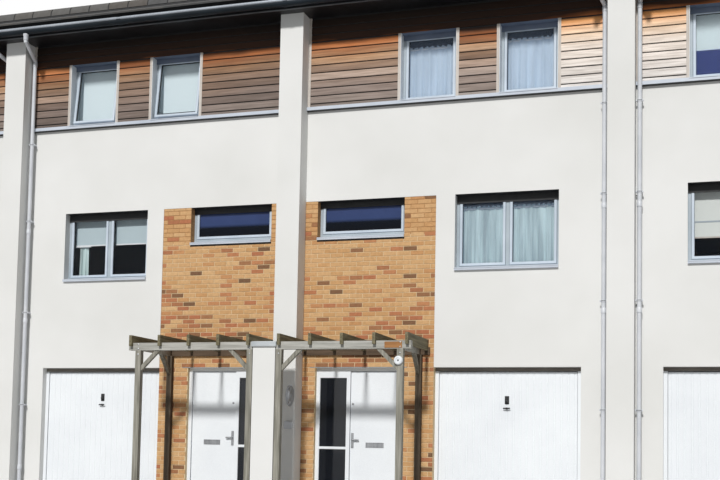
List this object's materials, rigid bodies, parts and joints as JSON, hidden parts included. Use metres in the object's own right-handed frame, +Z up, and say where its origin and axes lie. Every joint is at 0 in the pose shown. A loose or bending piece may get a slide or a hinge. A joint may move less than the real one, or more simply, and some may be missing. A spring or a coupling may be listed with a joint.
{
  "type": "terraced house row",
  "caption": "Row of three-storey terraced houses with brick and render fronts, timber-boarded top storey, integral garages and shared timber porches.",
  "frame": {"origin": "on the ground, in the middle of the row and halfway between the front and back walls", "axes": "+X to the right along the row seen from the front, +Y from the front wall to the back wall, +Z up"},
  "size_m": [21.62, 10.335, 10.6268],
  "materials": {
    "brick": "matt, mixed buff bricks",
    "render": "fine matt render",
    "boards": "unpainted, weathering",
    "porch_timber": "rough, weathered",
    "metal": "satin",
    "frames": "satin pale grey",
    "white": "satin white",
    "glass": "clear",
    "tiles": "matt concrete tile",
    "black": "matt",
    "floor": "plain",
    "steel": "satin"
  },
  "bodies": {
    "house_row": {"ground_floor": "floor", "hall_floor": "floor", "first_floor": "floor", "second_floor": "floor", "party_walls": "render", "party_piers": "render", "brick_jambs": "brick", "brick_bands": "brick", "brick_cheeks": "brick", "render_jambs": "render", "render_low": "render", "render_cheeks": "render", "render_bands": "render", "upper_piers": "render", "upper_heads": "render", "timber_boarding": "boards", "metal_sills": "metal", "lower_frames": "frames", "lower_glass": "glass", "upper_frames": "frames", "upper_glass": "glass", "garage_posts": "white", "garage_rails": "white", "entrance_posts": "white", "entrance_rails": "white", "roof_front": "tiles", "roof_back": "tiles", "ridge": "tiles", "eaves_boards": "black", "gutters": "black", "downpipes": "white", "porch_posts": "porch_timber", "porch_beams": "porch_timber", "porch_rafters": "porch_timber", "porch_braces": "porch_timber", "porch_piers": "render"},
    "front_door_1": {"front_door_1": "white"},
    "garage_bar_1": {"garage_bar_1": "steel"},
    "garage_door_1": {"garage_door_1": "white"},
    "front_door_2": {"front_door_2": "white"},
    "garage_bar_2": {"garage_bar_2": "steel"},
    "garage_door_2": {"garage_door_2": "white"},
    "front_door_3": {"front_door_3": "white"},
    "garage_bar_3": {"garage_bar_3": "steel"},
    "garage_door_3": {"garage_door_3": "white"},
    "front_door_4": {"front_door_4": "white"},
    "garage_bar_4": {"garage_bar_4": "steel"},
    "garage_door_4": {"garage_door_4": "white"}
  },
  "joints": [
    {"name": "front_door_1_hinge", "type": "hinge", "parent": "house_row", "child": "front_door_1", "pos_m": [-8.793, -4.0417, 0.156], "axis": [0, 0, -1], "range_deg": [0, 90]},
    {"name": "front_door_2_hinge", "type": "hinge", "parent": "house_row", "child": "front_door_2", "pos_m": [-1.807, -4.0417, 0.156], "axis": [0, 0, 1], "range_deg": [0, 90]},
    {"name": "front_door_3_hinge", "type": "hinge", "parent": "house_row", "child": "front_door_3", "pos_m": [1.807, -4.0417, 0.156], "axis": [0, 0, -1], "range_deg": [0, 90]},
    {"name": "front_door_4_hinge", "type": "hinge", "parent": "house_row", "child": "front_door_4", "pos_m": [8.793, -4.0417, 0.156], "axis": [0, 0, 1], "range_deg": [0, 90]},
    {"name": "garage_door_1_travel", "type": "slide", "parent": "house_row", "child": "garage_bar_1", "axis": [0, 1, 0], "range_m": [0, 1.5]},
    {"name": "garage_door_1_swing", "type": "hinge", "parent": "garage_bar_1", "child": "garage_door_1", "pos_m": [-7.045, -4.045, 2.154], "axis": [-1, 0, 0], "range_deg": [0, 85]},
    {"name": "garage_door_2_travel", "type": "slide", "parent": "house_row", "child": "garage_bar_2", "axis": [0, 1, 0], "range_m": [0, 1.5]},
    {"name": "garage_door_2_swing", "type": "hinge", "parent": "garage_bar_2", "child": "garage_door_2", "pos_m": [-3.555, -4.045, 2.154], "axis": [-1, 0, 0], "range_deg": [0, 85]},
    {"name": "garage_door_3_travel", "type": "slide", "parent": "house_row", "child": "garage_bar_3", "axis": [0, 1, 0], "range_m": [0, 1.5]},
    {"name": "garage_door_3_swing", "type": "hinge", "parent": "garage_bar_3", "child": "garage_door_3", "pos_m": [3.555, -4.045, 2.154], "axis": [-1, 0, 0], "range_deg": [0, 85]},
    {"name": "garage_door_4_travel", "type": "slide", "parent": "house_row", "child": "garage_bar_4", "axis": [0, 1, 0], "range_m": [0, 1.5]},
    {"name": "garage_door_4_swing", "type": "hinge", "parent": "garage_bar_4", "child": "garage_door_4", "pos_m": [7.045, -4.045, 2.154], "axis": [-1, 0, 0], "range_deg": [0, 85]}
  ],
  "couplings": [
    {"joint": "garage_door_1_travel", "follows": "garage_door_1_swing", "m_per_rad": 1},
    {"joint": "garage_door_2_travel", "follows": "garage_door_2_swing", "m_per_rad": 1},
    {"joint": "garage_door_3_travel", "follows": "garage_door_3_swing", "m_per_rad": 1},
    {"joint": "garage_door_4_travel", "follows": "garage_door_4_swing", "m_per_rad": 1}
  ]
}
